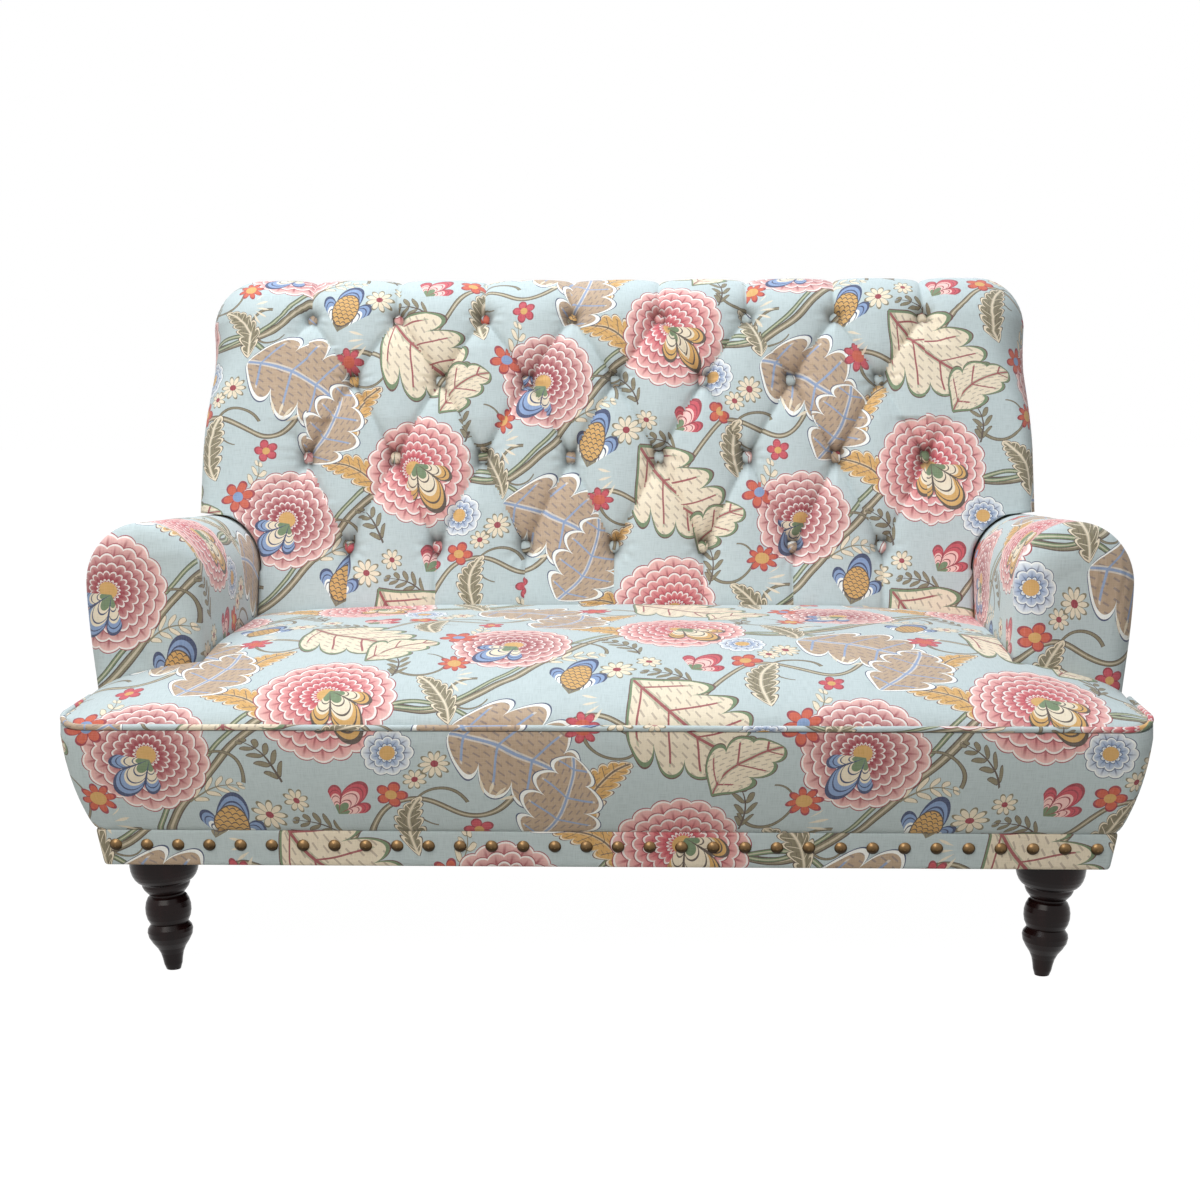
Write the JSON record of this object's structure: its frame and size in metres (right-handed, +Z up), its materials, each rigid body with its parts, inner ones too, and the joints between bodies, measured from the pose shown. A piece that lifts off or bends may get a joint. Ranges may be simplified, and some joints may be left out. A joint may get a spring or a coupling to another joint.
{
  "type": "loveseat",
  "caption": "Two-seat rolled-arm loveseat with a deep-buttoned roll back, piped tight seat, nail-trimmed base band, turned front legs and raked rear legs.",
  "frame": {"origin": "centre of the footprint on the floor, under the middle of the loveseat", "axes": "+X across the seat, along the long side; +Y from the front edge to the back; +Z up. The front faces -Y."},
  "size_m": [1.452, 0.86, 0.96],
  "materials": {
    "print_fabric": "matte linen-like weave with a floral print",
    "leg_wood": "espresso stain, satin gloss",
    "frame_wood": "planed, unfinished hardwood",
    "spring_steel": "bare steel",
    "nail_brass": "antique, satin",
    "jute_webbing": "woven jute",
    "foam": "soft upholstery foam",
    "black_cambric": "thin matte non-woven cloth"
  },
  "bodies": {
    "root": {"front_rail": "frame_wood", "rear_rail": "frame_wood", "left_side_rail": "frame_wood", "right_side_rail": "frame_wood", "centre_rail": "frame_wood", "front_corner_blocks": "frame_wood", "rear_corner_blocks": "frame_wood", "left_back_post": "frame_wood", "right_back_post": "frame_wood", "back_bottom_rail": "frame_wood", "back_top_rail": "frame_wood", "back_uprights": "frame_wood", "roll_formers": "frame_wood", "left_arm_stump": "frame_wood", "right_arm_stump": "frame_wood", "left_arm_rail": "frame_wood", "right_arm_rail": "frame_wood", "left_tack_rail": "frame_wood", "right_tack_rail": "frame_wood", "seat_springs": "spring_steel", "spring_clips": "spring_steel", "back_webbing": "jute_webbing", "seat_deck": "jute_webbing", "seat_foam": "foam", "seat_pad": "print_fabric", "seat_welt": "print_fabric", "front_border": "print_fabric", "base_band": "print_fabric", "nail_heads": "nail_brass", "left_arm_pad": "print_fabric", "right_arm_pad": "print_fabric", "left_arm_front": "print_fabric", "right_arm_front": "print_fabric", "left_arm_rear": "print_fabric", "right_arm_rear": "print_fabric", "left_outside_arm": "print_fabric", "right_outside_arm": "print_fabric", "back_pad": "print_fabric", "tuft_buttons": "print_fabric", "outside_back": "print_fabric", "dust_cover": "black_cambric", "front_left_leg": "leg_wood", "front_right_leg": "leg_wood", "rear_left_leg": "leg_wood", "rear_right_leg": "leg_wood", "leg_bolts": "spring_steel", "leg_nuts": "spring_steel"}
  },
  "joints": []
}
